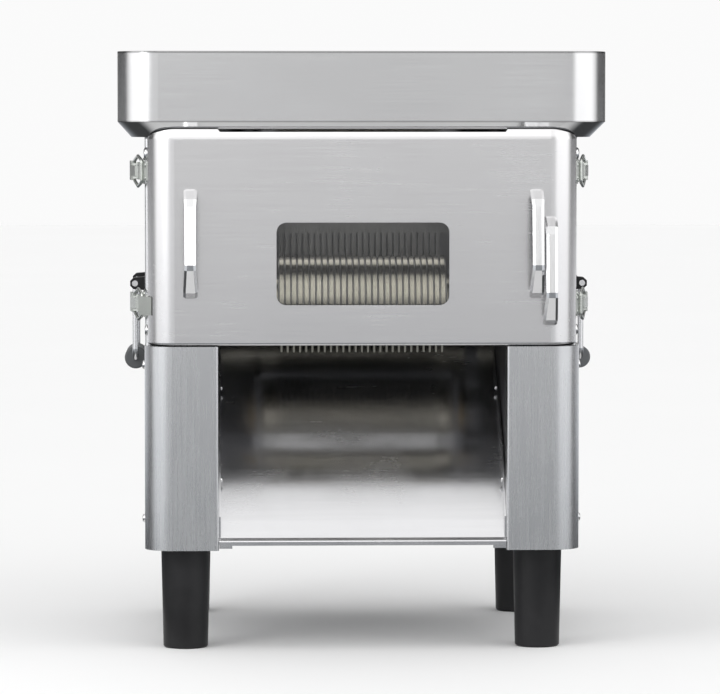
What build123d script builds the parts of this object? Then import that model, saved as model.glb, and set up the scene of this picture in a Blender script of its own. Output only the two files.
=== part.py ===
from build123d import *
import math
import os

# Electric slicer shredder, millimetres.
# X runs to the right, Y to the back (the front cover faces -Y), Z up.
# The origin is on the table, under the middle of the whole machine.

os.makedirs("parts", exist_ok=True)

# ---------------------------------------------------------------- dimensions
HALF_W = 200.0            # outer face of the side panels
SHEET = 1.5               # stainless sheet
Y_FRONT = -168.0          # front face of the cover and of the columns
Y_BACK = 172.0            # back face of the rear panel
Z_BASE = 93.0             # underside of the base plate, top of the legs
Z_SPLIT = 281.2           # lower edge of the front cover
Z_SHELL = 470.0           # top edge of the side panels
CORNER_R = 25.0           # front corners of the body
SEAM = 1.0                # gap between the cover and the columns

COVER_HALF_W = 197.0
COVER_TOP = 478.9
COVER_NOTCH = 476.3       # lowered middle of the cover's top edge
NOTCH_HALF_W = 133.0
FLANGE_BACK = -118.0      # rear edge of the cover's side flanges
COVER_ROLL_R = 20.0       # rounded top edge of the cover
COVER_ROLL_Z = 469.5      # where the rounding starts
COVER_LIP = 7.0           # return along the cover's lower edge

BAY_HALF_W = 132.0        # clear half width of the discharge bay
WALL_IN = 133.5           # inner face of the bay walls
WALL_OUT = 135.0
WALL_BACK = 58.0

WINDOW_W, WINDOW_H, WINDOW_R = 158.0, 75.5, 9.0
WINDOW_Z = 356.0

TRAY_W, TRAY_D = 449.0, 368.0
TRAY_Y = 14.0             # centre of the tray
TRAY_FLOOR = 471.5
TRAY_KNEE = 485.5         # where the chamfered underside meets the wall
TRAY_RIM = 550.0
TRAY_R = 38.0
TRAY_T = 1.5
TRAY_FLOOR_R = 48.0       # corner radius where the chamfer meets the floor
TRAY_CHAMFER = 12.0

LEG_X, LEG_Y_FRONT, LEG_Y_REAR = 163.0, -128.0, 144.0
LEG_R_TOP, LEG_R_FOOT = 22.5, 20.6

# knife block
KNIFE_Z = 320.0
FRONT_Y, REAR_Y = -116.0, -42.0
BLADE_R = 40.0
BLADE_T = 0.9
PITCH = 5.7               # blade to blade along a shaft
BLADES = 28
REAR_SHIFT = 1.25         # the rear blades pass beside the front ones
SPACER_R = 22.0
SHAFT_R = 10.0
HEX_R = 11.6              # corner radius of the hexagon under the blades
FINGER_W = 3.8            # comb finger between two blades
TIP_W = 1.8               # free tip below a finger
TIP_LOW = 273.4
TIP_SPAN = 75.0           # the tips stand within this of the middle
PLATE_IN, PLATE_OUT = 92.0, 98.0
BUSH_R = 16.0
RUN = 0.05                # radial running clearance of shafts
MODULE = 2.0
KNIFE_TEETH, DRIVE_TEETH = 37, 25
GEAR_IN, GEAR_OUT = 105.0, 117.0

# drive
DRIVE_Y = 20.0
MOTOR_Y, MOTOR_Z = 98.0, 168.0
PULLEY_X = 165.0
DRIVE_PULLEY_R, MOTOR_PULLEY_R = 54.0, 27.0

# feed
THROAT_HALF_W = 84.0
THROAT_Y0, THROAT_Y1 = -124.0, -34.0

# draw latches
LATCH_Z = (440.0, 317.0)
LATCH_PIVOT = (207.0, -92.0)
LATCH_LINK = (210.0, -82.0)
LATCH_BAR = (202.5, -129.4)

# carrying handles
BAIL_X, BAIL_Z = 210.8, 333.5
GRIP_Z = 262.0
BAIL_R = 2.8
GRIP_R = 10.5


# ------------------------------------------------------------------- helpers
def bent_strip(points, radius, thickness, side):
    """Cross-section of a sheet bent along a line."""
    with BuildSketch() as strip:
        with BuildLine():
            FilletPolyline(*points, radius=radius)
            offset(amount=thickness, side=side)
        make_face()
    return strip.sketch


def gear_outline(teeth, module, bore, half_tooth_at_zero, thin=0.12):
    """Spur gear seen along its axis. With half_tooth_at_zero a tooth is
    centred on the +X ray of the sketch, otherwise a gap is."""
    pitch_r = module * teeth / 2
    tip_r = pitch_r + 0.94 * module
    root_r = pitch_r - 1.22 * module
    base_r = pitch_r * math.cos(math.radians(20))

    def inv(r):
        a = math.acos(min(1.0, base_r / r))
        return math.tan(a) - a

    half = math.pi / (2 * teeth) - thin / pitch_r
    radii = [max(base_r, root_r + 0.4), pitch_r - 0.3 * module, pitch_r + 0.35 * module, tip_r]
    start = 0.0 if half_tooth_at_zero else math.pi / teeth
    points = []
    for i in range(teeth):
        centre = start + 2 * math.pi * i / teeth
        flank = [(r, half + inv(pitch_r) - inv(r)) for r in radii]
        points.append((root_r, centre - flank[0][1] - 0.012))
        for r, a in flank:
            points.append((r, centre - a))
        for r, a in reversed(flank):
            points.append((r, centre + a))
        points.append((root_r, centre + flank[0][1] + 0.012))
    with BuildSketch() as outline:
        Polygon(*[(r * math.cos(a), r * math.sin(a)) for r, a in points], align=None)
        Circle(bore, mode=Mode.SUBTRACT)
    return outline.sketch


def write(builder, label):
    builder.part.label = label
    export_step(builder.part, "parts/" + label + ".step")


# =================================================================== BODY
# Side panels: outer wall, rounded front column below the cover, a cap over
# the column and a bulkhead behind the cover's flange.
for side, label in ((-1, "left_side_panel"), (1, "right_side_panel")):
    with BuildPart() as side_panel:
        with BuildSketch(Plane.XY.offset(Z_BASE)):
            add(bent_strip([(side * HALF_W, Y_BACK - SHEET), (side * HALF_W, Y_FRONT),
                            (side * BAY_HALF_W, Y_FRONT), (side * BAY_HALF_W, Y_FRONT + 18)],
                           [CORNER_R, 2.5], SHEET, Side.RIGHT if side > 0 else Side.LEFT))
        extrude(amount=Z_SPLIT - SEAM - Z_BASE)
        with BuildSketch(Plane.XY.offset(Z_SPLIT - SEAM - SHEET)):
            with BuildLine():
                Polyline((side * WALL_OUT, -116), (side * WALL_OUT, Y_FRONT + 1),
                         (side * 176, Y_FRONT + 1), (side * (HALF_W - 1), -144),
                         (side * (HALF_W - 1), -116), close=True)
            make_face()
        extrude(amount=SHEET)
        with BuildSketch(Plane.XY.offset(Z_BASE)):
            add(bent_strip([(side * HALF_W, Y_BACK - SHEET), (side * HALF_W, -116),
                            (side * WALL_OUT, -116)],
                           [3.0], SHEET, Side.RIGHT if side > 0 else Side.LEFT))
        extrude(amount=Z_SHELL - Z_BASE)
        with BuildSketch(Plane.XY.offset(Z_BASE)):
            with Locations((side * 166.2, -115)):
                Rectangle(64.6, 8)
        extrude(amount=Z_SPLIT - SEAM - SHEET - Z_BASE, mode=Mode.SUBTRACT)
    write(side_panel, label)

# Bay walls: flat inner walls of the columns, which carry the drive shaft's
# bearings and the guide rails.
for side, label in ((-1, "left_bay_wall"), (1, "right_bay_wall")):
    with BuildPart() as bay_wall:
        with BuildSketch(Plane.YZ.offset(side * (WALL_IN + WALL_OUT) / 2)):
            with Locations(((WALL_BACK - 160) / 2, (Z_SHELL + 94.5) / 2)):
                Rectangle(WALL_BACK + 160, Z_SHELL - 94.5)
            with Locations((-138, (Z_SHELL + 420) / 2 + 40)):
                Rectangle(60, 40, mode=Mode.SUBTRACT)
            with Locations((DRIVE_Y, KNIFE_Z)):
                Circle(14, mode=Mode.SUBTRACT)
        extrude(amount=SHEET / 2, both=True)
    write(bay_wall, label)

# Wall behind the knife bay; the chute ends against it.
with BuildPart() as bay_back_plate:
    with Locations((0, WALL_BACK - SHEET / 2, (300 + Z_SHELL) / 2)):
        Box(2 * WALL_IN, SHEET, Z_SHELL - 300)
write(bay_back_plate, "bay_back_plate")

# Discharge chute: one polished sheet falling to the front in a long curve,
# with upturned side flanges, a turned-down lip and two small ears at its ends.
CHUTE_HIGH = (WALL_BACK - SHEET - 1.3, 300.0)
CHUTE_BEND = (-125.0, 163.0)
CHUTE_HALF_W = 131.8
CHUTE_FLANGE = 12.0       # height of the upturned side flanges
CHUTE_FLANGE_Y0, CHUTE_FLANGE_Y1 = -164.0, -6.0
with BuildPart() as chute:
    with BuildSketch(Plane.YZ):
        add(bent_strip([(-166.5, 97.5), (-166.5, 101.6), (-163.2, 104.4), CHUTE_BEND, CHUTE_HIGH],
                       [1.6, 1.6, 300], SHEET, Side.RIGHT))
    extrude(amount=CHUTE_HALF_W, both=True)
    for side in (-1, 1):
        with BuildSketch(Plane.YZ.offset(side * CHUTE_HALF_W)):
            with Locations((0.5, -0.5)):
                add(bent_strip([(-163.2, 104.4), CHUTE_BEND, CHUTE_HIGH], [300], CHUTE_FLANGE, Side.LEFT))
            with Locations(((CHUTE_FLANGE_Y0 + CHUTE_FLANGE_Y1) / 2, 190)):
                Rectangle(CHUTE_FLANGE_Y1 - CHUTE_FLANGE_Y0, 300, mode=Mode.INTERSECT)
        extrude(amount=-side * SHEET)
    for side in (-1, 1):
        with BuildSketch(Plane.XZ.offset(166.5)):
            with Locations((side * 125.8, 96.6)):
                Rectangle(12, 3.6)
        extrude(amount=-SHEET)
write(chute, "chute")

# Base plate with the leg bolt holes.
with BuildPart() as base_plate:
    with BuildSketch(Plane.XY.offset(Z_BASE)):
        with Locations((0, (170 - 110) / 2)):
            Rectangle(2 * 198.2, 280)
        for side in (-1, 1):
            with Locations((side * 166.1, -137)):
                RectangleRounded(64.2, 58, 23)
            with Locations((side * 155, -139)):
                Rectangle(42, 54)
            with Locations((side * 166.1, -113)):
                Rectangle(64.2, 10)
        with Locations((-LEG_X, LEG_Y_FRONT), (LEG_X, LEG_Y_FRONT),
                       (-LEG_X, LEG_Y_REAR), (LEG_X, LEG_Y_REAR)):
            Circle(4, mode=Mode.SUBTRACT)
        with Locations((-70, MOTOR_Y), (50, MOTOR_Y)):
            Rectangle(30, 60, mode=Mode.SUBTRACT)
    extrude(amount=SHEET)
write(base_plate, "base_plate")

# Rear panel with vent slots behind the motor and the hole for the gland.
with BuildPart() as rear_panel:
    with BuildSketch(Plane.XZ.offset(-(Y_BACK - SHEET / 2))):
        with Locations((0, (Z_SHELL + 94.5) / 2)):
            Rectangle(2 * 198.5, Z_SHELL - 94.5)
        with Locations((0, 175)):
            with GridLocations(1, 12, 1, 9):
                SlotOverall(120, 5, mode=Mode.SUBTRACT)
        with Locations((-150, 140)):
            Circle(9, mode=Mode.SUBTRACT)
    extrude(amount=SHEET / 2, both=True)
write(rear_panel, "rear_panel")

# Deck under the tray, cut out for the feed throat.
with BuildPart() as top_deck:
    with BuildSketch(Plane.XY.offset(Z_SHELL)):
        with Locations((0, (Y_BACK - 116) / 2)):
            Rectangle(2 * HALF_W, Y_BACK + 116)
        Polygon((-193.5, -115), (-193.5, -140), (-178, -158), (178, -158), (193.5, -140), (193.5, -115), align=None)
        with Locations((0, (THROAT_Y0 + THROAT_Y1) / 2)):
            Rectangle(2 * (THROAT_HALF_W + SHEET), THROAT_Y1 - THROAT_Y0 + 2 * SHEET, mode=Mode.SUBTRACT)
    extrude(amount=TRAY_FLOOR - Z_SHELL)
write(top_deck, "top_deck")

# Feed tray: chamfered underside, upright wall, folded rim, throat opening.
def tray_chamfer(floor_z, knee_z, inset_floor, inset_knee, radius_floor, radius_knee):
    """Flaring shell of the tray's underside between two rounded outlines."""
    with BuildPart() as flare:
        with BuildSketch(Plane.XY.offset(floor_z)):
            with Locations((0, TRAY_Y)):
                RectangleRounded(TRAY_W - 2 * inset_floor, TRAY_D - 2 * inset_floor, radius_floor)
        with BuildSketch(Plane.XY.offset(knee_z)):
            with Locations((0, TRAY_Y)):
                RectangleRounded(TRAY_W - 2 * inset_knee, TRAY_D - 2 * inset_knee, radius_knee)
        loft(ruled=True)
    return flare.part


with BuildPart() as tray:
    with BuildSketch(Plane.XY.offset(TRAY_KNEE)):
        with Locations((0, TRAY_Y)):
            RectangleRounded(TRAY_W, TRAY_D, TRAY_R)
    extrude(amount=TRAY_RIM - TRAY_KNEE)
    fillet(tray.faces().sort_by(Axis.Z)[-1].edges(), 0.8)
    add(tray_chamfer(TRAY_FLOOR, TRAY_KNEE, TRAY_CHAMFER, 0.0, TRAY_FLOOR_R, TRAY_R))
    add(tray_chamfer(TRAY_FLOOR + TRAY_T, TRAY_KNEE + 0.6, TRAY_CHAMFER + 0.4, TRAY_T, TRAY_FLOOR_R - 2.0, TRAY_R - TRAY_T),
        mode=Mode.SUBTRACT)
    with BuildSketch(Plane.XY.offset(TRAY_KNEE + 0.6)):
        with Locations((0, TRAY_Y)):
            RectangleRounded(TRAY_W - 2 * TRAY_T, TRAY_D - 2 * TRAY_T, TRAY_R - TRAY_T)
    extrude(amount=TRAY_RIM - 3.6 - TRAY_KNEE, mode=Mode.SUBTRACT)
    with BuildSketch(Plane.XY.offset(TRAY_RIM - 3.0)):
        with Locations((0, TRAY_Y)):
            RectangleRounded(TRAY_W - 8, TRAY_D - 8, TRAY_R - 4)
    extrude(amount=3.0, mode=Mode.SUBTRACT)
    with BuildSketch(Plane.XY.offset(TRAY_FLOOR)):
        with Locations((0, (THROAT_Y0 + THROAT_Y1) / 2)):
            Rectangle(2 * (THROAT_HALF_W + SHEET), THROAT_Y1 - THROAT_Y0 + 2 * SHEET)
    extrude(amount=3, mode=Mode.SUBTRACT)
write(tray, "tray")

# Feed throat: a straight duct from the tray floor to just above the combs,
# with a flange that lies on the tray floor.
with BuildPart() as feed_throat:
    with BuildSketch(Plane.XY.offset(406)):
        with Locations((0, (THROAT_Y0 + THROAT_Y1) / 2)):
            Rectangle(2 * (THROAT_HALF_W + SHEET), THROAT_Y1 - THROAT_Y0 + 2 * SHEET)
    extrude(amount=TRAY_FLOOR + TRAY_T - 406)
    with BuildSketch(Plane.XY.offset(TRAY_FLOOR + TRAY_T)):
        with Locations((0, (THROAT_Y0 + THROAT_Y1) / 2)):
            RectangleRounded(2 * THROAT_HALF_W + 18, THROAT_Y1 - THROAT_Y0 + 18, 5)
    extrude(amount=1.2)
    with BuildSketch(Plane.XY.offset(406)):
        with Locations((0, (THROAT_Y0 + THROAT_Y1) / 2)):
            Rectangle(2 * THROAT_HALF_W, THROAT_Y1 - THROAT_Y0)
    extrude(amount=TRAY_FLOOR + TRAY_T + 1.2 - 406, mode=Mode.SUBTRACT)
write(feed_throat, "feed_throat")

# Four tapered legs with a blind bolt hole.
with BuildPart() as legs:
    for x, y in ((-LEG_X, LEG_Y_FRONT), (LEG_X, LEG_Y_FRONT), (-LEG_X, LEG_Y_REAR), (LEG_X, LEG_Y_REAR)):
        with BuildSketch(Plane((x, y, 0), x_dir=(1, 0, 0), z_dir=(0, -1, 0))):
            with BuildLine():
                Polyline((4, Z_BASE), (4, Z_BASE - 26), (0, Z_BASE - 26), (0, 0), (LEG_R_FOOT - 1.5, 0),
                         (LEG_R_FOOT, 1.5), (LEG_R_TOP, Z_BASE - 1), (LEG_R_TOP - 1, Z_BASE), close=True)
            make_face()
        revolve(axis=Axis((x, y, 0), (0, 0, 1)))
write(legs, "legs")


# Bolts of the legs and the small domed screws of the body.
def domed(cx, cy, cz, normal, radius, height):
    """A domed head standing on a face at a point."""
    plane = Plane((cx, cy, cz), z_dir=normal)
    with BuildPart() as head:
        with BuildSketch(plane):
            Circle(radius)
        extrude(amount=height)
        fillet(head.faces().sort_by(Axis(plane.origin, plane.z_dir))[-1].edges(), min(height * 0.75, radius * 0.6))
    return head.part


with BuildPart() as body_fasteners:
    for x, y in ((-LEG_X, LEG_Y_FRONT), (LEG_X, LEG_Y_FRONT), (-LEG_X, LEG_Y_REAR), (LEG_X, LEG_Y_REAR)):
        with BuildSketch(Plane.XY.offset(Z_BASE + SHEET)):
            with Locations((x, y)):
                RegularPolygon(7.5, 6)
        extrude(amount=5.5)
        with BuildSketch(Plane.XY.offset(Z_BASE - 24)):
            with Locations((x, y)):
                Circle(4)
        extrude(amount=24 + SHEET)
    for side in (-1, 1):
        for y, z in ((-132, 120), (-132, 262), (150, 120), (150, 290), (150, 452), (20, 120)):
            add(domed(side * HALF_W, y, z, (side, 0, 0), 4.0, 2.4))
    for y, z in ((-132, 251), (-128, 227), (-124, 211), (-120, 199)):
        add(domed(-WALL_IN, y, z, (1, 0, 0), 2.8, 1.9))
    for y, z in ((-41.1, 234.3), (-137.0, 155.5)):
        for side in (-1, 1):
            add(domed(side * (CHUTE_HALF_W - SHEET), y, z, (-side, 0, 0), 2.6, 1.8))
    for x in (-188, 0, 188):
        for z in (110, 290, 456):
            add(domed(x, Y_BACK, z, (0, 1, 0), 3.4, 2.2))
write(body_fasteners, "body_fasteners")

# =================================================================== DRIVE
# Motor: finned barrel, two end bells and a foot.
with BuildPart() as motor_housing:
    with BuildSketch(Plane.YZ.offset(-92)):
        with Locations((MOTOR_Y, MOTOR_Z)):
            Circle(57)
            with PolarLocations(60, 36):
                Rectangle(8, 2.6)
    extrude(amount=170)
    for x0, x1 in ((-118, -92), (78, 96)):
        with BuildSketch(Plane.YZ.offset(x0)):
            with Locations((MOTOR_Y, MOTOR_Z)):
                Circle(62)
        extrude(amount=x1 - x0)
    with BuildSketch(Plane.YZ.offset(96)):
        with Locations((MOTOR_Y, MOTOR_Z)):
            Circle(26)
    extrude(amount=8)
    with BuildSketch(Plane.XY.offset(Z_BASE + SHEET)):
        with Locations((-10, MOTOR_Y)):
            RectangleRounded(150, 110, 6)
    extrude(amount=6)
    with BuildSketch(Plane.XY.offset(Z_BASE + SHEET + 6)):
        for x in (-60, 40):
            with Locations((x, MOTOR_Y)):
                Rectangle(22, 84)
    extrude(amount=40)
    with BuildSketch(Plane.YZ.offset(40)):
        with Locations((MOTOR_Y, MOTOR_Z)):
            Circle(9.5 + RUN)
    extrude(amount=70, mode=Mode.SUBTRACT)
write(motor_housing, "motor_housing")

with BuildPart() as motor_shaft:
    with BuildSketch(Plane.YZ.offset(42)):
        with Locations((MOTOR_Y, MOTOR_Z)):
            Circle(9.5)
    extrude(amount=140)
    chamfer(motor_shaft.faces().sort_by(Axis.X)[-1].edges(), 0.8)
write(motor_shaft, "motor_shaft")


def pulley_section(outer_r, bore_r, half_w):
    """Half section of a grooved pulley: radius across, axis upright."""
    with BuildSketch() as section:
        with BuildLine():
            Polyline((bore_r, -half_w), (outer_r, -half_w), (outer_r, -6.4), (outer_r - 9.5, -4.6),
                     (outer_r - 9.5, 4.6), (outer_r, 6.4), (outer_r, half_w), (bore_r, half_w), close=True)
        make_face()
    return section.sketch


for label, cy, cz, outer_r, bore_r in (("motor_pulley", MOTOR_Y, MOTOR_Z, MOTOR_PULLEY_R, 9.5),
                                       ("drive_pulley", DRIVE_Y, KNIFE_Z, DRIVE_PULLEY_R, SHAFT_R)):
    with BuildPart() as pulley:
        with BuildSketch(Plane((PULLEY_X, cy, cz), x_dir=(0, 1, 0), z_dir=(0, 0, 1))):
            add(pulley_section(outer_r, bore_r, 9.0).rotate(Axis.Z, 90).rotate(Axis.Z, -90))
        revolve(axis=Axis((PULLEY_X, cy, cz), (1, 0, 0)))
    write(pulley, label)

# V-belt on the two pulleys, kept just clear of the groove walls.
with BuildPart() as drive_belt:
    for half_w, r_out, r_in in ((4.4, -0.6, -8.9),):
        with BuildSketch(Plane.YZ.offset(PULLEY_X)):
            with Locations((DRIVE_Y, KNIFE_Z)):
                Circle(DRIVE_PULLEY_R + r_out)
            with Locations((MOTOR_Y, MOTOR_Z)):
                Circle(MOTOR_PULLEY_R + r_out)
            make_hull()
        extrude(amount=half_w, both=True)
        with BuildSketch(Plane.YZ.offset(PULLEY_X)) as belt_hole:
            with Locations((DRIVE_Y, KNIFE_Z)):
                Circle(DRIVE_PULLEY_R + r_in)
            with Locations((MOTOR_Y, MOTOR_Z)):
                Circle(MOTOR_PULLEY_R + r_in)
            make_hull()
        extrude(amount=half_w, both=True, mode=Mode.SUBTRACT)
write(drive_belt, "drive_belt")

# Drive shaft through both bay walls.
with BuildPart() as drive_shaft:
    with BuildSketch(Plane.YZ.offset(-156)):
        with Locations((DRIVE_Y, KNIFE_Z)):
            Circle(SHAFT_R)
    extrude(amount=336)
    chamfer(drive_shaft.faces().sort_by(Axis.X)[0].edges() + drive_shaft.faces().sort_by(Axis.X)[-1].edges(), 0.8)
write(drive_shaft, "drive_shaft")

with BuildPart() as drive_gear:
    with BuildSketch(Plane.YZ.offset(GEAR_IN)):
        with Locations((DRIVE_Y, KNIFE_Z)):
            add(gear_outline(DRIVE_TEETH, MODULE, SHAFT_R, True))
    extrude(amount=GEAR_OUT - GEAR_IN)
write(drive_gear, "drive_gear")

# Square flange bearings on the outer faces of the bay walls.
with BuildPart() as drive_bearings:
    for side in (-1, 1):
        with BuildSketch(Plane.YZ.offset(side * WALL_OUT)):
            with Locations((DRIVE_Y, KNIFE_Z)):
                RectangleRounded(60, 60, 12)
                Circle(SHAFT_R + RUN, mode=Mode.SUBTRACT)
        extrude(amount=side * 7)
        with BuildSketch(Plane.YZ.offset(side * (WALL_OUT + 7))):
            with Locations((DRIVE_Y, KNIFE_Z)):
                Circle(22)
                Circle(SHAFT_R + RUN, mode=Mode.SUBTRACT)
        extrude(amount=side * 9)
        with BuildSketch(Plane.YZ.offset(side * (WALL_OUT + 7))):
            with Locations((DRIVE_Y, KNIFE_Z)):
                with GridLocations(42, 42, 2, 2):
                    RegularPolygon(4.5, 6)
        extrude(amount=side * 4)
write(drive_bearings, "drive_bearings")

# =============================================================== KNIFE BLOCK
# Angle rails on the bay walls carry the block by its ears.
RAIL_TOP = 367.0
with BuildPart() as guide_rails:
    for side in (-1, 1):
        with BuildSketch(Plane.XZ.offset(155)):
            with BuildLine():
                Polyline((side * WALL_IN, RAIL_TOP - 3), (side * 123, RAIL_TOP - 3), (side * 123, RAIL_TOP),
                         (side * 130.5, RAIL_TOP), (side * 130.5, RAIL_TOP + 18),
                         (side * WALL_IN, RAIL_TOP + 18), close=True)
            make_face()
        extrude(amount=-205)
write(guide_rails, "guide_rails")

# Knife plates: bush seats, a flange against the cover and an ear on the rail.
with BuildPart() as knife_plates:
    for side in (-1, 1):
        with BuildSketch(Plane.YZ.offset(side * PLATE_IN)):
            with BuildLine():
                Polyline((-166.5, 283), (-10, 283), (-2, 291), (-2, 398), (-10, 406), (-158, 406), (-166.5, 398), close=True)
            make_face()
            with Locations((FRONT_Y, KNIFE_Z), (REAR_Y, KNIFE_Z)):
                Circle(BUSH_R, mode=Mode.SUBTRACT)
        extrude(amount=side * (PLATE_OUT - PLATE_IN))
        with BuildSketch(Plane.XZ.offset(166.5)):
            with Locations((side * 109, 340.5)):
                Rectangle(28, 105)
        extrude(amount=-5)
        with BuildSketch(Plane.XY.offset(RAIL_TOP + 0.3)):
            with Locations((side * 112.5, -80)):
                Rectangle(33, 152)
        extrude(amount=5)
write(knife_plates, "knife_plates")

# Round tie bars between the plates.
with BuildPart() as tie_bars:
    for y, z, r in ((-151.5, 288.5, 3.5), (-7.5, 290.0, 3.5), (-151, 400, 5.0), (-8.5, 394, 4.5)):
        with BuildSketch(Plane.YZ):
            with Locations((y, z)):
                Circle(r)
        extrude(amount=PLATE_IN, both=True)
write(tie_bars, "tie_bars")


def comb(centre_y, facing, shift, label):
    """One comb: crescent fingers between the blades and free tips below.
    facing is -1 for the front comb and +1 for the rear. The rear comb hangs
    from a spine above the fingers, the front comb stands on a spine low in
    front of them, so that the window stays open."""
    f = -facing
    with BuildPart() as fingers:
        with BuildSketch(Plane.YZ):
            with Locations((centre_y, KNIFE_Z)):
                Circle(BLADE_R + 2)
                Circle(SPACER_R + 2.5, mode=Mode.SUBTRACT)
            with Locations((centre_y + f * 47, KNIFE_Z)):
                Rectangle(100, 120, mode=Mode.SUBTRACT)
            with BuildLine():
                if facing > 0:
                    Polyline((centre_y - f * 28, 348), (centre_y - f * 20, 364), (centre_y - f * 20, 402),
                             (centre_y - f * 11, 402), (centre_y - f * 11, 356), (centre_y - f * 18, 340), close=True)
                else:
                    Polyline((centre_y - 40, 306), (centre_y - 35, 300), (centre_y - 31, 295),
                             (centre_y - 40, 294), close=True)
            make_face()
        extrude(amount=FINGER_W / 2, both=True)
    one = fingers.part
    with BuildPart() as tip:
        with BuildSketch(Plane.YZ):
            with BuildLine():
                Polyline((centre_y - f * 22, 296), (centre_y - f * 20, TIP_LOW), (centre_y - f * 12, TIP_LOW),
                         (centre_y - f * 8, 290), close=True)
            make_face()
        extrude(amount=TIP_W / 2, both=True)
    with BuildPart() as whole:
        for i in range(BLADES - 1):
            finger_x = (i - (BLADES - 2) / 2) * PITCH + shift
            with Locations((finger_x, 0, 0)):
                add(one)
                if abs(finger_x) < TIP_SPAN:
                    add(tip.part)
        with BuildSketch(Plane.YZ):
            if facing > 0:
                with Locations((centre_y - f * 15.5, 391)):
                    Rectangle(9, 22)
            else:
                with Locations((centre_y - 42, 298)):
                    Rectangle(6, 16)
        extrude(amount=PLATE_IN, both=True)
    write(whole, label)


comb(FRONT_Y, -1, 0.0, "front_comb")
comb(REAR_Y, 1, REAR_SHIFT, "rear_comb")

# Flanged bushes of the knife shafts.
with BuildPart() as knife_bushes:
    for side in (-1, 1):
        for y in (FRONT_Y, REAR_Y):
            with BuildSketch(Plane.YZ.offset(side * (PLATE_IN - 0.5))):
                with Locations((y, KNIFE_Z)):
                    Circle(BUSH_R)
                    Circle(SHAFT_R + RUN, mode=Mode.SUBTRACT)
            extrude(amount=side * (PLATE_OUT - PLATE_IN + 0.5))
            with BuildSketch(Plane.YZ.offset(side * PLATE_OUT)):
                with Locations((y, KNIFE_Z)):
                    Circle(20)
                    Circle(SHAFT_R + RUN, mode=Mode.SUBTRACT)
            extrude(amount=side * 4)
write(knife_bushes, "knife_bushes")

# The two knife shafts with their blades, spacers and gears.
HALF_STACK = (BLADES - 1) / 2 * PITCH
for name, y, shift, tooth in (("front", FRONT_Y, 0.0, True), ("rear", REAR_Y, REAR_SHIFT, True)):
    with BuildPart() as shaft:
        with BuildSketch(Plane.YZ.offset(-106)):
            with Locations((y, KNIFE_Z)):
                Circle(SHAFT_R)
        extrude(amount=226)
        with BuildSketch(Plane.YZ.offset(-89)):
            with Locations((y, KNIFE_Z)):
                RegularPolygon(HEX_R, 6)
        extrude(amount=178)
    write(shaft, name + "_knife_shaft")

    with BuildPart() as blades:
        for i in range(BLADES):
            with BuildSketch(Plane.YZ.offset(i * PITCH - HALF_STACK + shift - BLADE_T / 2)):
                with Locations((y, KNIFE_Z)):
                    Circle(BLADE_R)
                    RegularPolygon(HEX_R, 6, mode=Mode.SUBTRACT)
            extrude(amount=BLADE_T)
    write(blades, name + "_blades")

    with BuildPart() as spacers:
        for i in range(BLADES - 1):
            with BuildSketch(Plane.YZ.offset(i * PITCH - HALF_STACK + shift + BLADE_T / 2)):
                with Locations((y, KNIFE_Z)):
                    Circle(SPACER_R)
                    RegularPolygon(HEX_R, 6, mode=Mode.SUBTRACT)
            extrude(amount=PITCH - BLADE_T)
        for x0, x1 in ((-89.0, -HALF_STACK + shift - BLADE_T / 2), (HALF_STACK + shift + BLADE_T / 2, 89.0)):
            with BuildSketch(Plane.YZ.offset(x0)):
                with Locations((y, KNIFE_Z)):
                    Circle(SPACER_R)
                    RegularPolygon(HEX_R, 6, mode=Mode.SUBTRACT)
            extrude(amount=x1 - x0)
    write(spacers, name + "_spacers")

    with BuildPart() as knife_gear:
        with BuildSketch(Plane.YZ.offset(GEAR_IN)):
            with Locations((y, KNIFE_Z)):
                add(gear_outline(KNIFE_TEETH, MODULE, SHAFT_R, tooth))
        extrude(amount=GEAR_OUT - GEAR_IN)
        with BuildSketch(Plane.YZ.offset(GEAR_OUT)):
            with Locations((y, KNIFE_Z)):
                RegularPolygon(15, 6)
                Circle(SHAFT_R, mode=Mode.SUBTRACT)
        extrude(amount=2.5)
    write(knife_gear, name + "_gear")

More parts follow.
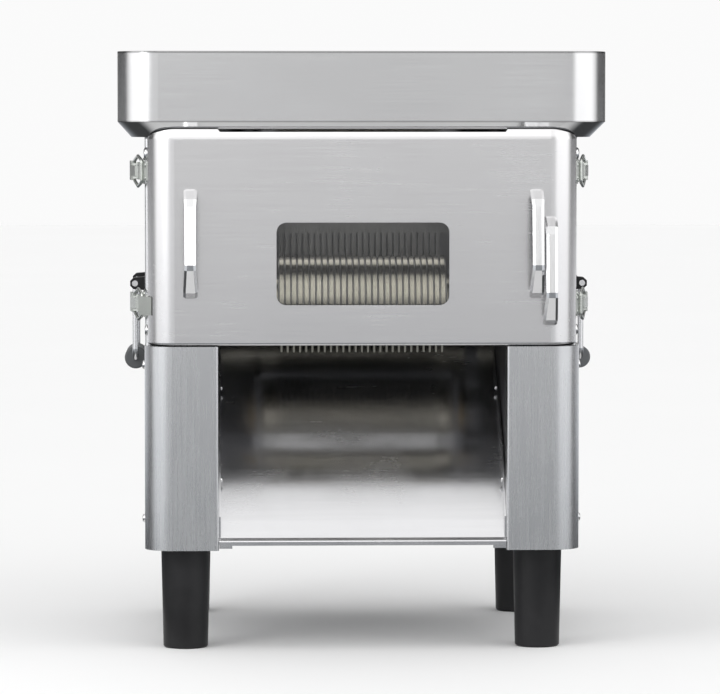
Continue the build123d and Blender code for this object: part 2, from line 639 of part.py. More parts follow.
# =============================================================== FRONT COVER
# A pan-shaped sheet: rounded front corners, a wide roll along the top, side
# flanges and a narrow return along the lower edge. Its top edge follows the
# tray's chamfer with a gap of 1.3 mm.
COVER_DEPTH = FLANGE_BACK - Y_FRONT + 60
with BuildPart() as front_cover:
    with BuildSketch(Plane.XY.offset(Z_SPLIT)):
        with Locations((0, (Y_FRONT + FLANGE_BACK) / 2 + 30)):
            RectangleRounded(2 * COVER_HALF_W, COVER_DEPTH, CORNER_R)
    extrude(amount=COVER_ROLL_Z + COVER_ROLL_R - Z_SPLIT)
    fillet(front_cover.faces().sort_by(Axis.Z)[-1].edges(), COVER_ROLL_R)
    fillet(front_cover.faces().sort_by(Axis.Z)[0].edges(), 2.6)
    with BuildSketch(Plane.XY.offset(Z_SPLIT + SHEET)):
        with Locations((0, (Y_FRONT + FLANGE_BACK) / 2 + 30)):
            RectangleRounded(2 * (COVER_HALF_W - SHEET), COVER_DEPTH - 2 * SHEET, CORNER_R - SHEET)
    extrude(amount=COVER_ROLL_Z - Z_SPLIT - SHEET, mode=Mode.SUBTRACT)
    with BuildSketch(Plane.XY.offset(COVER_ROLL_Z)):
        with Locations((0, (Y_FRONT + FLANGE_BACK) / 2 + 30)):
            RectangleRounded(2 * (COVER_HALF_W - SHEET), COVER_DEPTH - 2 * SHEET, CORNER_R - SHEET)
    extrude(amount=10.5, taper=13, mode=Mode.SUBTRACT)
    with BuildSketch(Plane.XY.offset(Z_SPLIT - 1)):
        with Locations((0, (Y_FRONT + FLANGE_BACK) / 2 + 30)):
            RectangleRounded(2 * (COVER_HALF_W - COVER_LIP), COVER_DEPTH - 2 * COVER_LIP, CORNER_R - COVER_LIP)
    extrude(amount=SHEET + 2, mode=Mode.SUBTRACT)
    with Locations((0, FLANGE_BACK + 60, (Z_SPLIT + 500) / 2)):
        Box(500, 120, 300, mode=Mode.SUBTRACT)
    with Locations((0, -140, COVER_TOP + 20)):
        Box(500, 200, 40, mode=Mode.SUBTRACT)
    add(tray_chamfer(TRAY_FLOOR - 1.3, TRAY_KNEE - 1.3, TRAY_CHAMFER, 0.0, TRAY_FLOOR_R, TRAY_R), mode=Mode.SUBTRACT)
    with BuildSketch(Plane.XZ.offset(-Y_FRONT)):
        with Locations((0, WINDOW_Z)):
            RectangleRounded(WINDOW_W, WINDOW_H, WINDOW_R)
    extrude(amount=-SHEET, mode=Mode.SUBTRACT)
    with BuildSketch(Plane.XZ.offset(-Y_FRONT)):
        with BuildLine():
            Polyline((-NOTCH_HALF_W, COVER_TOP + 1), (-NOTCH_HALF_W + 2.5, COVER_NOTCH), (NOTCH_HALF_W - 2.5, COVER_NOTCH),
                     (NOTCH_HALF_W, COVER_TOP + 1), close=True)
        make_face()
    extrude(amount=-9, mode=Mode.SUBTRACT)
write(front_cover, "front_cover")

# Clear pane behind the window opening.
with BuildPart() as window_pane:
    with BuildSketch(Plane.XZ.offset(-(Y_FRONT + SHEET))):
        with Locations((0, WINDOW_Z)):
            RectangleRounded(WINDOW_W + 20, WINDOW_H + 16, WINDOW_R + 4)
    extrude(amount=-3)
write(window_pane, "window_pane")

# Cast bow handles: two wide feet on the cover and a narrower bevelled grip
# that leans in towards the top. Each row is a cross-section: the outer and
# the inner edge as (distance from the cover, height), and half the width.
HANDLE_H = 99.6
HANDLE_ROWS = (((0.0, 0.0), (0.0, 8.5), 6.5), ((4.0, 0.0), (4.5, 8.5), 6.5), ((11.0, 5.0), (8.5, 8.5), 6.6),
               ((29.5, 26.0), (24.0, 27.5), 5.3), ((30.0, 31.0), (25.3, 31.5), 5.1), ((24.5, 84.0), (19.8, 83.5), 5.2),
               ((20.0, 91.0), (15.0, 88.0), 5.8), ((6.0, 98.2), (6.0, 91.8), 6.1), ((0.0, 99.6), (0.0, 93.0), 6.2))
HANDLES = (("cover_handle_left", -157.5, 374.5),
           ("cover_handle_right", 158.7, 374.5),
           ("cover_handle_right_lower", 171.1, 349.5))
for label, x, z in HANDLES:
    with BuildPart() as cover_handle:
        for (outer_p, outer_h), (inner_p, inner_h), half_w in HANDLE_ROWS:
            reach_y, reach_z = inner_p - outer_p, outer_h - inner_h
            deep = math.hypot(reach_y, reach_z)
            with BuildSketch(Plane((x, Y_FRONT - inner_p, z - HANDLE_H / 2 + inner_h), x_dir=(1, 0, 0),
                                   z_dir=(0, -reach_z / deep, reach_y / deep))):
                Polygon((-half_w, 0), (half_w, 0), (half_w, deep - 1.4), (half_w - 2.3, deep),
                        (-half_w + 2.3, deep), (-half_w, deep - 1.4), align=None)
        loft(ruled=True)
    write(cover_handle, label)

# Domed bolts on the cover's side flanges and nuts on the plates' flanges.
with BuildPart() as cover_fasteners:
    for side in (-1, 1):
        add(domed(side * COVER_HALF_W, -131, 456.3, (side, 0, 0), 5.8, 3.6))
        add(domed(side * COVER_HALF_W, -131, 294, (side, 0, 0), 5.0, 3.0))
        with BuildSketch(Plane.XZ.offset(161.5)):
            with Locations((side * 115, 300), (side * 115, 384)):
                RegularPolygon(6, 6)
        extrude(amount=-4)
write(cover_fasteners, "cover_fasteners")

# ============================================================= DRAW LATCHES
with BuildPart() as latch_bases:
    for side in (-1, 1):
        for zc in LATCH_Z:
            with BuildSketch(Plane.YZ.offset(side * 200)):
                with Locations((-86, zc)):
                    RectangleRounded(52, 24, 3)
            extrude(amount=side * 1.5)
            for z0 in (zc - 7, zc + 5.3):
                with BuildSketch(Plane.XY.offset(z0)):
                    with BuildLine():
                        Polyline((side * 201.5, -98.5), (side * 201.5, -85.5), (side * 208, -86), (side * 211.6, -89),
                                 (side * 211.6, -95), (side * 208, -98), close=True)
                    make_face()
                    with Locations((side * LATCH_PIVOT[0], LATCH_PIVOT[1])):
                        Circle(2.06, mode=Mode.SUBTRACT)
                extrude(amount=1.7)
            for y in (-106, -66):
                add(domed(side * 201.5, y, zc + 8.5, (side, 0, 0), 2.2, 1.3))
                add(domed(side * 201.5, y, zc - 8.5, (side, 0, 0), 2.2, 1.3))
write(latch_bases, "latch_bases")

with BuildPart() as latch_catches:
    for side in (-1, 1):
        for zc in LATCH_Z:
            with BuildSketch(Plane.YZ.offset(side * 197)):
                with Locations((-131.5, zc)):
                    RectangleRounded(21, 20, 2)
            extrude(amount=side * 1.4)
            with BuildSketch(Plane.XY.offset(zc - 7.6)):
                with BuildLine():
                    Polyline((side * 198.4, -127.5), (side * 205.0, -127.5), (side * 205.6, -126.6),
                             (side * 204.6, -125.6), (side * 198.4, -125.6), close=True)
                make_face()
            extrude(amount=15.2)
            for z in (zc - 6, zc + 6):
                add(domed(side * 198.4, -137, z, (side, 0, 0), 2.2, 1.3))
    # the left lower catch also wraps the cover's corner
    with BuildSketch(Plane.XY.offset(LATCH_Z[1] - 8.5)):
        corner = [(-(172 + 25.2 * math.cos(math.radians(a))), -143 - 25.2 * math.sin(math.radians(a)))
                  for a in (0, 6, 12, 18, 24, 30)]
        Polygon((-197.0, -139.0), (-197.0, -142.9), *corner, (-193.4, -157.0), (-205.4, -144.2), (-205.4, -142.4),
                (-198.4, -141.0), (-198.4, -139.0), align=None)
    extrude(amount=17)
write(latch_catches, "latch_catches")

LATCH_NAMES = {(-1, 440.0): "left_upper", (1, 440.0): "right_upper",
               (-1, 317.0): "left_lower", (1, 317.0): "right_lower"}
for (side, zc), where in LATCH_NAMES.items():
    with BuildPart() as latch_lever:
        with BuildSketch(Plane.XY.offset(zc - 4.9)):
            with BuildLine():
                Polyline((side * 205.2, -96), (side * 209.5, -95.6), (side * 213.6, -82), (side * 213.0, -62),
                         (side * 211.2, -62), (side * 208.2, -78), (side * 204.6, -88), close=True)
            make_face()
        extrude(amount=9.8)
        with BuildSketch(Plane.XY.offset(zc - 9)):
            with BuildLine():
                Polyline((side * 211.4, -78), (side * 213.6, -78), (side * 213.0, -62), (side * 215.2, -55.5),
                         (side * 213.4, -54.6), (side * 211.0, -61), close=True)
            make_face()
        extrude(amount=18)
        with BuildSketch(Plane.XY.offset(zc - 8)):
            with Locations((side * LATCH_PIVOT[0], LATCH_PIVOT[1])):
                Circle(2.0)
        extrude(amount=16)
        with BuildSketch(Plane.XY.offset(zc - 6)):
            with Locations((side * LATCH_LINK[0], LATCH_LINK[1])):
                Circle(1.56)
        extrude(amount=12, mode=Mode.SUBTRACT)
    write(latch_lever, "latch_lever_" + where)

    bar = (side * LATCH_BAR[0], LATCH_BAR[1])
    link = (side * LATCH_LINK[0], LATCH_LINK[1])
    with BuildPart() as latch_loop:
        with BuildLine():
            FilletPolyline((*bar, zc), (*bar, zc + 10.0), ((bar[0] + link[0]) / 2, (bar[1] + link[1]) / 2 - 4, zc + 14.0),
                           (*link, zc + 9.2), (*link, zc), radius=2.6)
        with BuildSketch(Plane((*bar, zc), z_dir=(0, 0, 1))):
            Circle(1.5)
        sweep()
        mirror(about=Plane.XY.offset(zc))
    write(latch_loop, "latch_loop_" + where)

# ========================================================= CARRYING HANDLES
BAIL_Y0, BAIL_Y1 = -34.0, 52.0
with BuildPart() as handle_brackets:
    for side in (-1, 1):
        for y0, y1 in ((BAIL_Y0 - 18, BAIL_Y0 - 5), (BAIL_Y1 + 5, BAIL_Y1 + 18)):
            with BuildSketch(Plane.XZ.offset(-y0)):
                with BuildLine():
                    Polyline((side * 200, BAIL_Z + 6.5), (side * 212, BAIL_Z + 5.4), (side * 215.2, BAIL_Z + 2.4),
                             (side * 215.2, BAIL_Z - 2.4), (side * 212, BAIL_Z - 5.4), (side * 200, BAIL_Z - 6.5), close=True)
                make_face()
                with Locations((side * BAIL_X, BAIL_Z)):
                    Circle(BAIL_R + RUN, mode=Mode.SUBTRACT)
            extrude(amount=-(y1 - y0))
write(handle_brackets, "handle_brackets")

for side, label in ((-1, "left"), (1, "right")):
    x = side * BAIL_X
    with BuildPart() as carry_handle:
        with BuildLine():
            FilletPolyline((x, BAIL_Y0 - 17, BAIL_Z), (x, BAIL_Y0, BAIL_Z), (x, BAIL_Y0, GRIP_Z),
                           (x, BAIL_Y1, GRIP_Z), (x, BAIL_Y1, BAIL_Z), (x, BAIL_Y1 + 17, BAIL_Z), radius=[4.6, 9, 9, 4.6])
        with BuildSketch(Plane((x, BAIL_Y0 - 17, BAIL_Z), z_dir=(0, 1, 0))):
            Circle(BAIL_R)
        sweep()
    write(carry_handle, "carry_handle_" + label)
    with BuildPart() as grip:
        with BuildSketch(Plane.XZ.offset(-(BAIL_Y0 + 11))):
            with Locations((x, GRIP_Z)):
                Circle(GRIP_R)
        extrude(amount=-(BAIL_Y1 - BAIL_Y0 - 22))
        fillet(grip.edges().filter_by(GeomType.CIRCLE), 2.0)
        with BuildSketch(Plane.XZ.offset(-(BAIL_Y0 + 10))):
            with Locations((x, GRIP_Z)):
                Circle(BAIL_R)
        extrude(amount=-(BAIL_Y1 - BAIL_Y0 - 20), mode=Mode.SUBTRACT)
    write(grip, "grip_" + label)

# ================================================================ SWITCH, INLET
SWITCH_Y, SWITCH_Z = 118.0, 400.0
with BuildPart() as switch_plate:
    with BuildSketch(Plane.YZ.offset(HALF_W)):
        with Locations((SWITCH_Y, SWITCH_Z)):
            RectangleRounded(40, 74, 5)
            with Locations((0, 17), (0, -17)):
                Circle(11.3, mode=Mode.SUBTRACT)
    extrude(amount=9)
    with BuildSketch(Plane.YZ.offset(HALF_W)):
        with Locations((SWITCH_Y, SWITCH_Z)):
            RectangleRounded(36, 70, 4)
    extrude(amount=1.5)
write(switch_plate, "switch_plate")

for label, dz in (("start_button", 17.0), ("stop_button", -17.0)):
    with BuildPart() as button:
        with BuildSketch(Plane.YZ.offset(HALF_W + 4.6)):
            with Locations((SWITCH_Y, SWITCH_Z + dz)):
                Circle(11.0)
        extrude(amount=8.0)
        fillet(button.faces().sort_by(Axis.X)[-1].edges(), 1.5)
    write(button, label)

# Cable gland: hexagon and dome outside, nut inside, bore straight through.
GLAND_X, GLAND_Z = -150.0, 140.0
with BuildPart() as cable_gland:
    for y0, y1, r, hexagon in ((158, 163, 13, True), (163, 174, 9, False), (172, 179, 13, True), (179, 194, 10.5, False)):
        with BuildSketch(Plane.XZ.offset(-y0)):
            with Locations((GLAND_X, GLAND_Z)):
                if hexagon:
                    RegularPolygon(r, 6)
                else:
                    Circle(r)
        extrude(amount=-(y1 - y0))
    with BuildSketch(Plane.XZ.offset(-158)):
        with Locations((GLAND_X, GLAND_Z)):
            Circle(4.5)
    extrude(amount=-36, mode=Mode.SUBTRACT)
write(cable_gland, "cable_gland")
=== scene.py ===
import math

import bmesh
import bpy
from mathutils import Matrix, Vector

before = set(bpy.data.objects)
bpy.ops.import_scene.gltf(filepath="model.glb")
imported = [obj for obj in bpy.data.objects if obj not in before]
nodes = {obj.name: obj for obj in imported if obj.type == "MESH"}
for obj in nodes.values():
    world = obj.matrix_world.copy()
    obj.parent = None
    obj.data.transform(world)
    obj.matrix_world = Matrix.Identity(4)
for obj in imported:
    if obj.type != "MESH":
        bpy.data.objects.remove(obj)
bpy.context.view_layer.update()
scene = bpy.context.scene


# ------------------------------------------------------------------ camera
def make_camera():
    data = bpy.data.cameras.new("camera")
    data.lens = 205.67
    data.sensor_width = 36.0
    data.clip_start, data.clip_end = 0.05, 90.0
    cam = bpy.data.objects.new("camera", data)
    scene.collection.objects.link(cam)
    yaw, pitch = math.radians(1.8486), math.radians(3.2807)
    forward = Vector((math.sin(yaw) * math.cos(pitch), math.cos(yaw) * math.cos(pitch), -math.sin(pitch)))
    cam.rotation_mode = "QUATERNION"
    cam.rotation_quaternion = forward.to_track_quat("-Z", "Y")
    cam.location = (-0.1239, -3.9216, 0.4952)
    scene.camera = cam
    scene.view_settings.view_transform = "Standard"


make_camera()


# --------------------------------------------------------- material helpers
class Graph:
    """A small helper that adds and links shader nodes of one material."""

    def __init__(self, name):
        self.mat = bpy.data.materials.new(name)
        self.mat.use_nodes = True
        self.tree = self.mat.node_tree
        self.tree.nodes.clear()
        self.out = self.tree.nodes.new("ShaderNodeOutputMaterial")
        self.bsdf = self.tree.nodes.new("ShaderNodeBsdfPrincipled")
        self.link(self.bsdf.outputs[0], self.out.inputs["Surface"])
        self.coord = self.tree.nodes.new("ShaderNodeTexCoord").outputs["Object"]

    def link(self, a, b):
        self.tree.links.new(a, b)

    def set(self, **values):
        for key, value in values.items():
            self.bsdf.inputs[key.replace("_", " ")].default_value = value
        return self

    def node(self, kind, **values):
        n = self.tree.nodes.new(kind)
        for key, value in values.items():
            setattr(n, key, value)
        return n

    def mapping(self, scale=(1, 1, 1), rotation=(0, 0, 0), location=(0, 0, 0)):
        n = self.node("ShaderNodeMapping")
        n.inputs["Scale"].default_value = scale
        n.inputs["Rotation"].default_value = rotation
        n.inputs["Location"].default_value = location
        self.link(self.coord, n.inputs["Vector"])
        return n.outputs[0]

    def noise(self, scale, detail=2.0, rough=0.5, vector=None, distortion=0.0):
        n = self.node("ShaderNodeTexNoise")
        n.inputs["Scale"].default_value = scale
        n.inputs["Detail"].default_value = detail
        n.inputs["Roughness"].default_value = rough
        n.inputs["Distortion"].default_value = distortion
        self.link(vector or self.coord, n.inputs["Vector"])
        return n.outputs["Fac"]

    def remap(self, value, low, high, to_low, to_high):
        n = self.node("ShaderNodeMapRange")
        n.inputs["From Min"].default_value = low
        n.inputs["From Max"].default_value = high
        n.inputs["To Min"].default_value = to_low
        n.inputs["To Max"].default_value = to_high
        self.link(value, n.inputs["Value"])
        return n.outputs[0]

    def math(self, kind, a, b):
        n = self.node("ShaderNodeMath", operation=kind)
        for i, v in enumerate((a, b)):
            if isinstance(v, (int, float)):
                n.inputs[i].default_value = v
            else:
                self.link(v, n.inputs[i])
        return n.outputs[0]

    def ramp(self, value, stops):
        n = self.node("ShaderNodeValToRGB")
        while len(n.color_ramp.elements) < len(stops):
            n.color_ramp.elements.new(0.5)
        for element, (position, color) in zip(n.color_ramp.elements, stops):
            element.position = position
            element.color = (*color, 1.0)
        self.link(value, n.inputs["Fac"])
        return n.outputs["Color"]

    def profile(self, value, stops, top=1.5):
        """A factor that follows a coordinate: stops are (metres, factor)."""
        low, high = stops[0][0], stops[-1][0]
        color = self.ramp(self.remap(value, low, high, 0.0, 1.0),
                          [((at - low) / (high - low), (f / top,) * 3) for at, f in stops])
        return self.math("MULTIPLY", color, top)

    def scaled(self, color, factor):
        n = self.node("ShaderNodeVectorMath", operation="SCALE")
        self.link(color, n.inputs[0])
        self.link(factor, n.inputs["Scale"])
        return n.outputs[0]

    def bump(self, height, strength, distance):
        n = self.node("ShaderNodeBump")
        n.inputs["Strength"].default_value = strength
        n.inputs["Distance"].default_value = distance
        self.link(height, n.inputs["Height"])
        self.link(n.outputs[0], self.bsdf.inputs["Normal"])

    def xyz(self):
        n = self.node("ShaderNodeSeparateXYZ")
        self.link(self.coord, n.inputs[0])
        return n.outputs


def steel(name, tint=(0.66, 0.66, 0.67), rough=0.30, grain=(18, 900, 900), grain_bump=0.10,
          spread=0.05, blotch=0.03, smudge=0.05, tone_map=None, rough_map=None):
    """Brushed stainless sheet: fine grain lines, slow tone drift, faint smears."""
    g = Graph(name)
    g.set(Metallic=1.0)
    lines = g.noise(1.0, 3.0, 0.6, g.mapping(scale=grain))
    slow = g.noise(5.0, 2.0, 0.5)
    smear = g.noise(14.0, 4.0, 0.62, g.mapping(scale=(1.0, 1.0, 0.7)), 0.4)
    tone = g.math("ADD", g.remap(lines, 0.25, 0.75, -spread / 2, spread / 2),
                  g.remap(slow, 0.3, 0.7, -blotch, blotch))
    r, gg, b = tint
    color = g.ramp(g.math("ADD", 0.5, tone), [
        (0.0, (max(r - 0.35, 0), max(gg - 0.35, 0), max(b - 0.35, 0))),
        (0.5, tint),
        (1.0, (min(r + 0.35, 1), min(gg + 0.35, 1), min(b + 0.35, 1)))])
    if tone_map:
        color = g.scaled(color, tone_map(g))
    g.link(color, g.bsdf.inputs["Base Color"])
    roughness = g.math("ADD", g.remap(lines, 0.25, 0.75, rough - 0.03, rough + 0.03),
                       g.remap(smear, 0.45, 0.75, 0.0, smudge))
    if rough_map:
        roughness = g.math("MULTIPLY", roughness, rough_map(g))
    g.link(roughness, g.bsdf.inputs["Roughness"])
    g.bump(lines, grain_bump, 0.0002)
    return g.mat


def plastic(name, color, rough=0.45, grain=900.0, bump=0.12, vary=0.25, level=0.5):
    """Moulded plastic with a fine grain and slightly dusty high spots."""
    g = Graph(name)
    fine = g.noise(grain, 2.0, 0.5)
    slow = g.noise(22.0, 3.0, 0.6)
    r, gg, b = color
    low = (r * (1 - vary), gg * (1 - vary), b * (1 - vary))
    high = (r * (1 + vary) + 0.004, gg * (1 + vary) + 0.004, b * (1 + vary) + 0.004)
    g.link(g.ramp(g.remap(slow, 0.3, 0.7, 0.0, 1.0), [(0.0, low), (1.0, high)]), g.bsdf.inputs["Base Color"])
    g.link(g.remap(slow, 0.3, 0.7, rough - 0.06, rough + 0.06), g.bsdf.inputs["Roughness"])
    g.set(Specular_IOR_Level=level)
    g.bump(fine, bump, 0.0002)
    return g.mat


def glass(name):
    g = Graph(name)
    g.set(Roughness=0.03, IOR=1.49, Metallic=0.0)
    g.bsdf.inputs["Transmission Weight"].default_value = 1.0
    smear = g.noise(30.0, 3.0, 0.6)
    g.link(g.ramp(g.remap(smear, 0.3, 0.8, 0.0, 1.0), [(0.0, (0.80, 0.80, 0.79)), (1.0, (0.74, 0.75, 0.74))]),
           g.bsdf.inputs["Base Color"])
    return g.mat


# ---------------------------------------------------------------- materials
def tray_bend_shade_and_rim_line(g):
    """A darker band along the bend above the chamfer, painted shade where the bend would mirror the darker horizon,
    and a darker band along the top of the folded rim.
    """
    x, y, z = g.xyz()
    return g.profile(z, [(0.4700, 1.0), (0.4848, 1.0), (0.4853, 0.6), (0.4862, 0.6), (0.4868, 1.0),
                         (0.5478, 1.0), (0.5486, 0.5), (0.5500, 0.5)])


def tray_rough(g):
    x, y, z = g.xyz()
    return g.profile(z, [(0.4700, 0.5), (0.4850, 0.5), (0.4862, 1.0), (0.5500, 1.0)])


MAT = {
    "cover": steel("steel_cover", (0.68, 0.675, 0.68), 0.24, grain=(14, 700, 700), grain_bump=0.04, blotch=0.015, smudge=0.03),
    # the tray's tone map paints shade in a band along the bend above the chamfer
    "tray": steel("steel_tray", (0.62, 0.62, 0.625), 0.20, grain=(10, 600, 800), grain_bump=0.06,
                  tone_map=tray_bend_shade_and_rim_line, rough_map=tray_rough),
    "panel": steel("steel_panel", (0.60, 0.605, 0.615), 0.26, grain=(700, 700, 14), grain_bump=0.05, blotch=0.02),
    # the inner steel is tinted dark: painted shade of the enclosed inside of the machine
    "inner": steel("steel_inner_painted_shade", (0.30, 0.30, 0.31), 0.34, grain=(500, 20, 600)),
    "chute": steel("steel_chute", (0.64, 0.64, 0.65), 0.20, grain=(8, 300, 300), grain_bump=0.03, blotch=0.03, smudge=0.10),
    "ground": steel("steel_ground", (0.70, 0.66, 0.56), 0.20, grain=(900, 60, 60), blotch=0.05),
    # the front comb's yellowish tint is the steel's own; its darkness below the ground steel is painted shade behind
    # the pane
    "comb": steel("steel_comb", (0.48, 0.455, 0.39), 0.20, grain=(900, 60, 60), blotch=0.05),
    "blade": steel("steel_blade", (0.24, 0.235, 0.23), 0.30, grain=(900, 60, 60), blotch=0.04),
    "gear": steel("steel_gear", (0.36, 0.36, 0.37), 0.34, grain=(60, 400, 400), blotch=0.08),
    "bright": steel("steel_bright", (0.74, 0.74, 0.745), 0.16, grain=(500, 500, 20), grain_bump=0.04),
    "zinc": steel("zinc_plate", (0.56, 0.58, 0.55), 0.28, grain=(200, 200, 200), blotch=0.10),
    "iron": plastic("painted_iron", (0.055, 0.060, 0.066), 0.50, 500.0, 0.25),
    "motor": plastic("painted_aluminium", (0.10, 0.12, 0.14), 0.42, 600.0, 0.2),
    "belt": plastic("belt_rubber", (0.018, 0.018, 0.018), 0.70, 800.0, 0.3),
    "bronze": steel("bronze_bush", (0.62, 0.44, 0.20), 0.30, grain=(300, 300, 300), blotch=0.1),
    "black": plastic("black_plastic", (0.006, 0.006, 0.007), 0.40, 900.0, 0.12, level=0.30),
    "grip": plastic("grey_grip", (0.09, 0.095, 0.10), 0.5, 700.0, 0.25),
    "green": plastic("green_button", (0.03, 0.30, 0.07), 0.25, 900.0, 0.05, 0.1),
    "red": plastic("red_button", (0.45, 0.015, 0.012), 0.25, 900.0, 0.05, 0.1),
    "glass": glass("clear_pane"),
}

GROUPS = {
    "cover": ["front_cover"],
    "tray": ["tray"],
    "panel": ["left_side_panel", "right_side_panel", "rear_panel", "base_plate"],
    "inner": ["left_bay_wall", "right_bay_wall", "bay_back_plate", "top_deck", "feed_throat", "knife_plates",
              "tie_bars", "guide_rails"],
    "chute": ["chute"],
    "comb": ["front_comb"],
    "ground": ["front_spacers", "rear_spacers",
               "front_knife_shaft", "rear_knife_shaft", "drive_shaft", "motor_shaft"],
    # the rear comb takes the dark blade finish as painted shade inside the machine
    "blade": ["front_blades", "rear_blades", "rear_comb"],
    "gear": ["front_gear", "rear_gear", "drive_gear"],
    "bright": ["cover_handle_left", "cover_handle_right", "cover_handle_right_lower", "carry_handle_left",
               "carry_handle_right", "cover_fasteners", "body_fasteners"],
    "zinc": ["latch_bases", "latch_catches"] + [f"latch_{k}_{w}" for k in ("lever", "loop")
                                                for w in ("left_upper", "right_upper", "left_lower", "right_lower")],
    "iron": ["drive_pulley", "motor_pulley", "drive_bearings"],
    "motor": ["motor_housing"],
    "belt": ["drive_belt"],
    "bronze": ["knife_bushes"],
    "black": ["legs", "handle_brackets", "switch_plate", "cable_gland"],
    "grip": ["grip_left", "grip_right"],
    "green": ["start_button"],
    "red": ["stop_button"],
    "glass": ["window_pane"],
}
for key, names in GROUPS.items():
    for name in names:
        mesh = nodes[name].data
        mesh.materials.clear()
        mesh.materials.append(MAT[key])
left = set(nodes) - {n for names in GROUPS.values() for n in names}
assert not left, left


# ------------------------------------------------------------ floor, lights
def make_floor():
    mesh = bpy.data.meshes.new("floor")
    bm = bmesh.new()
    bmesh.ops.create_grid(bm, x_segments=16, y_segments=16, size=14.0)
    bm.to_mesh(mesh)
    bm.free()
    floor = bpy.data.objects.new("floor", mesh)
    scene.collection.objects.link(floor)
    g = Graph("floor_paper")
    slow = g.noise(1.5, 2.0, 0.5)
    paper = g.ramp(slow, [(0.0, (0.85, 0.85, 0.85)), (1.0, (0.865, 0.865, 0.865))])
    # the floor that the steel mirrors is darker and cooler, except close by
    x, y, z = g.xyz()
    away = g.math("SQRT", g.math("ADD", g.math("MULTIPLY", x, x), g.math("MULTIPLY", y, y)), 0)
    mirrored = g.ramp(g.remap(away, 0.0, 6.0, 0.0, 1.0), [
        (0.0, (0.86, 0.86, 0.86)), (0.055, (0.84, 0.84, 0.84)), (0.070, (0.26, 0.27, 0.28)),
        (0.20, (0.17, 0.185, 0.20)), (0.50, (0.34, 0.35, 0.37)), (1.0, (0.52, 0.52, 0.53))])
    beside = g.profile(y, [(-0.60, 1.0), (-0.10, 0.18), (0.60, 0.18), (1.20, 1.0)], 1.0)
    near = g.profile(away, [(0.30, 1.0), (0.45, 0.0)], 1.0)
    mirrored = g.scaled(mirrored, g.math("MAXIMUM", beside, near))
    # painted reflection: to both sides of the camera the floor is brighter as the steel mirrors it; the camera sees
    # the plain paper there
    reflected_side_bands = g.profile(x, [(-3.0, 1.6), (-1.5, 2.5), (-0.6, 1.0), (0.6, 1.0), (1.5, 2.5), (3.0, 1.6)], 2.5)
    mirrored = g.scaled(mirrored, reflected_side_bands)
    path = g.node("ShaderNodeLightPath")
    mix = g.node("ShaderNodeMix", data_type="RGBA")
    g.link(path.outputs["Is Glossy Ray"], mix.inputs["Factor"])
    g.link(paper, mix.inputs[6])
    g.link(mirrored, mix.inputs[7])
    g.link(mix.outputs[2], g.bsdf.inputs["Base Color"])
    g.set(Roughness=0.9)
    mesh.materials.append(g.mat)


class Sky(Graph):
    """The same helper for the world's node tree."""

    def __init__(self, world):
        world.use_nodes = True
        self.tree = world.node_tree
        self.tree.nodes.clear()
        self.out = self.tree.nodes.new("ShaderNodeOutputWorld")
        self.coord = self.tree.nodes.new("ShaderNodeTexCoord").outputs["Generated"]

    def smooth(self, value, low, high, to_low=0.0, to_high=1.0):
        n = self.node("ShaderNodeMapRange", interpolation_type="SMOOTHSTEP")
        for key, v in (("From Min", low), ("From Max", high), ("To Min", to_low), ("To Max", to_high)):
            if isinstance(v, (int, float)):
                n.inputs[key].default_value = v
            else:
                self.link(v, n.inputs[key])
        self.link(value, n.inputs["Value"])
        return n.outputs[0]

    def mix(self, factor, a, b):
        n = self.node("ShaderNodeMix", data_type="RGBA")
        self.link(factor, n.inputs["Factor"])
        self.link(a, n.inputs[6])
        self.link(b, n.inputs[7])
        return n.outputs[2]


def grey(v, warm=0.0):
    return (v * (1 + warm), v, v * (1 - warm))


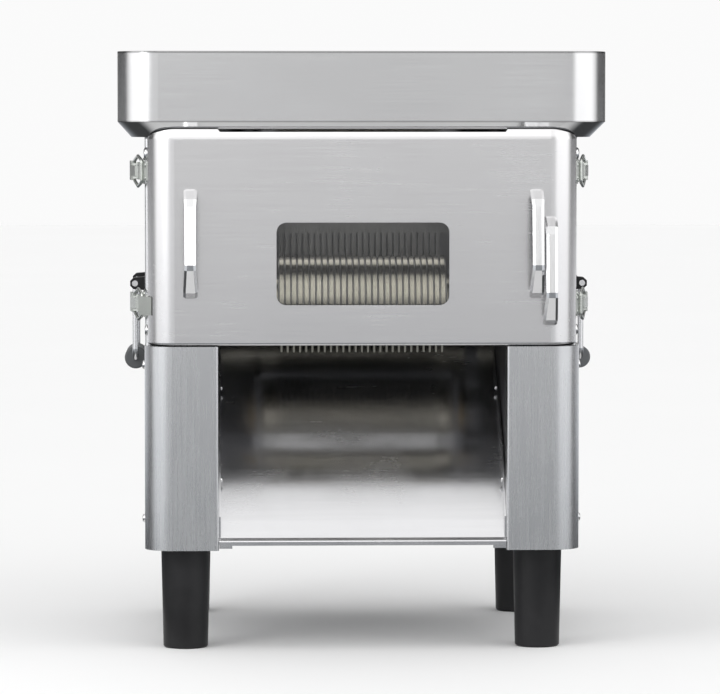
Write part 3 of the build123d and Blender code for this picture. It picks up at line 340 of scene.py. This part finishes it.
def make_world():
    """A studio of soft flats: plain in front, bright to both sides of the
    camera and above it, dark at the sides, lighter again behind."""
    world = bpy.data.worlds.new("studio")
    scene.world = world
    g = Sky(world)
    x, y, z = g.xyz()
    flat = g.math("SQRT", g.math("ADD", g.math("MULTIPLY", x, x), g.math("MULTIPLY", y, y)), 0)
    cos_az = g.math("DIVIDE", g.math("MULTIPLY", y, -1.0), g.math("MAXIMUM", flat, 0.0001))
    around = g.ramp(g.remap(cos_az, -1.0, 1.0, 0.0, 1.0), [
        (0.00, grey(0.32)), (0.02, grey(0.28)), (0.05, grey(0.05)), (0.38, grey(0.04)),
        (0.48, grey(0.66)), (0.60, grey(0.96)), (0.93, grey(0.96)), (0.972, grey(0.38)), (1.0, grey(0.36))])
    above = g.ramp(z, [(0.0, grey(0.70)), (0.12, grey(0.80)), (0.77, grey(0.76)), (0.87, grey(0.58)), (1.0, grey(0.42))])
    front = g.smooth(cos_az, 0.3, 0.8)
    side = g.smooth(x, -0.03, 0.05)
    start = g.smooth(front, 0.0, 1.0, 0.50, g.smooth(side, 0.0, 1.0, 0.03, 0.12))
    end = g.smooth(front, 0.0, 1.0, 0.85, g.smooth(side, 0.0, 1.0, 0.15, 0.34))
    n = g.mix(g.smooth(z, start, end), around, above)
    # a tall soft flat just beside the camera, fading to the right
    lit = g.smooth(x, -0.10, 0.02, 0.98, 1.22)
    fade = g.smooth(x, 0.02, 0.14, 1.0, 0.70)
    flat_in_front = g.smooth(cos_az, 0.90, 0.97, 0.0, 1.0)
    shaped = g.math("MULTIPLY", lit, fade)
    left = g.math("ADD", 1.0, g.math("MULTIPLY", flat_in_front, g.math("SUBTRACT", shaped, 1.0)))
    light = g.node("ShaderNodeBackground")
    g.link(n, light.inputs["Color"])
    g.link(g.math("MULTIPLY", left, 2.0), light.inputs["Strength"])
    plain = g.node("ShaderNodeBackground")
    plain.inputs["Color"].default_value = (0.96, 0.96, 0.96, 1)
    path = g.node("ShaderNodeLightPath")
    both = g.node("ShaderNodeMixShader")
    g.link(path.outputs["Is Camera Ray"], both.inputs[0])
    g.link(light.outputs[0], both.inputs[1])
    g.link(plain.outputs[0], both.inputs[2])
    g.link(both.outputs[0], g.out.inputs["Surface"])


def softbox(name, location, target, width, height, power):
    data = bpy.data.lights.new(name, "AREA")
    data.shape = "RECTANGLE"
    data.size, data.size_y = width, height
    data.energy = power
    light = bpy.data.objects.new(name, data)
    scene.collection.objects.link(light)
    light.location = location
    direction = Vector(target) - Vector(location)
    light.rotation_euler = direction.to_track_quat("-Z", "Y").to_euler()


make_floor()
make_world()
softbox("box_left", (-1.25, -1.35, 0.95), (-0.15, -0.15, 0.40), 0.5, 0.8, 5)
